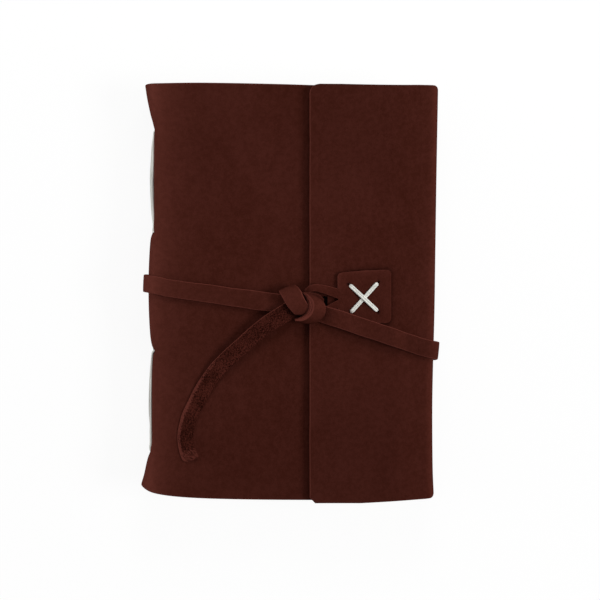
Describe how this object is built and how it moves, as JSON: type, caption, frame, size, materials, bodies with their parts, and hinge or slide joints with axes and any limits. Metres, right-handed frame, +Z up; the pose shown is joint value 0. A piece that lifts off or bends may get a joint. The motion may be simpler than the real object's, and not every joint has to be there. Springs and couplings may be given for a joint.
{
  "type": "leather wrap journal",
  "caption": "Soft leather journal with folded paper signatures sewn through the spine by long stitches; a flap wraps the fore-edge and is tied down with a flat leather lace.",
  "frame": {"origin": "middle of the journal's outline, on the surface that it lies on", "axes": "+X from spine to fore-edge, +Y from tail to head, +Z up through the front cover"},
  "size_m": [0.1447, 0.2042, 0.0402],
  "materials": {
    "leather": "reddish brown oiled hide, matt satin, slightly mottled",
    "lace": "the same hide cut as a flat lace, pale fuzzy cut edges",
    "suede": "flesh side of the lace, rough and fibrous",
    "paper": "uncoated cream paper",
    "thread": "white waxed thread"
  },
  "bodies": {
    "back": {"back_cover": "leather", "spine": "leather", "tie_spine_run": "lace", "tie_back_run": "lace"},
    "gathering_1": {"signature_1": "paper", "sewing_thread_1": "thread"},
    "gathering_2": {"signature_2": "paper", "sewing_thread_2": "thread"},
    "gathering_3": {"signature_3": "paper", "sewing_thread_3": "thread"},
    "gathering_4": {"signature_4": "paper", "sewing_thread_4": "thread"},
    "gathering_5": {"signature_5": "paper", "sewing_thread_5": "thread"},
    "gathering_6": {"signature_6": "paper", "sewing_thread_6": "thread"},
    "front": {"front_cover": "leather", "tie_left_arm": "lace"},
    "fold": {"fore_edge": "leather", "tie_fore_edge_run": "lace"},
    "flap": {"flap": "leather", "tie_patch": "leather", "cross_stitch_under": "thread", "cross_stitch_over": "thread", "tie_right_arm": "lace", "tie_knot": "lace", "tie_tail": "suede"}
  },
  "joints": [
    {"name": "book_open", "type": "hinge", "parent": "back", "child": "gathering_1", "pos_m": [-0.068, 0, 0.00485], "axis": [0, -1, 0], "range_deg": [0, 25.7], "deforming": ["spine", "tie_spine_run", "flap", "tie_patch", "cross_stitch_under", "cross_stitch_over", "tie_right_arm", "tie_knot", "tie_tail"]},
    {"name": "gathering_2_fan", "type": "hinge", "parent": "gathering_1", "child": "gathering_2", "pos_m": [-0.068, 0, 0.00825], "axis": [0, -1, 0], "range_deg": [0, 25.7]},
    {"name": "gathering_3_fan", "type": "hinge", "parent": "gathering_2", "child": "gathering_3", "pos_m": [-0.068, 0, 0.01165], "axis": [0, -1, 0], "range_deg": [0, 25.7]},
    {"name": "gathering_4_fan", "type": "hinge", "parent": "gathering_3", "child": "gathering_4", "pos_m": [-0.068, 0, 0.01505], "axis": [0, -1, 0], "range_deg": [0, 25.7]},
    {"name": "gathering_5_fan", "type": "hinge", "parent": "gathering_4", "child": "gathering_5", "pos_m": [-0.068, 0, 0.01845], "axis": [0, -1, 0], "range_deg": [0, 25.7]},
    {"name": "gathering_6_fan", "type": "hinge", "parent": "gathering_5", "child": "gathering_6", "pos_m": [-0.068, 0, 0.02185], "axis": [0, -1, 0], "range_deg": [0, 25.7]},
    {"name": "front_cover_fan", "type": "hinge", "parent": "gathering_6", "child": "front", "pos_m": [-0.068, 0, 0.02525], "axis": [0, -1, 0], "range_deg": [0, 25.7]},
    {"name": "fore_edge_fold", "type": "hinge", "parent": "back", "child": "fold", "pos_m": [0.07, 0, 0.00645], "axis": [0, 1, 0], "range_deg": [0, 80]},
    {"name": "flap_open", "type": "hinge", "parent": "fold", "child": "flap", "pos_m": [0.06585, 0, 0.0305], "axis": [0, 1, 0], "range_deg": [0, 100], "deforming": ["tie_fore_edge_run"]}
  ],
  "couplings": [
    {"joint": "gathering_2_fan", "follows": "book_open", "ratio": 1},
    {"joint": "gathering_3_fan", "follows": "book_open", "ratio": 1},
    {"joint": "gathering_4_fan", "follows": "book_open", "ratio": 1},
    {"joint": "gathering_5_fan", "follows": "book_open", "ratio": 1},
    {"joint": "gathering_6_fan", "follows": "book_open", "ratio": 1},
    {"joint": "front_cover_fan", "follows": "book_open", "ratio": 1},
    {"joint": "fore_edge_fold", "follows": "book_open", "ratio": 3.1125}
  ]
}
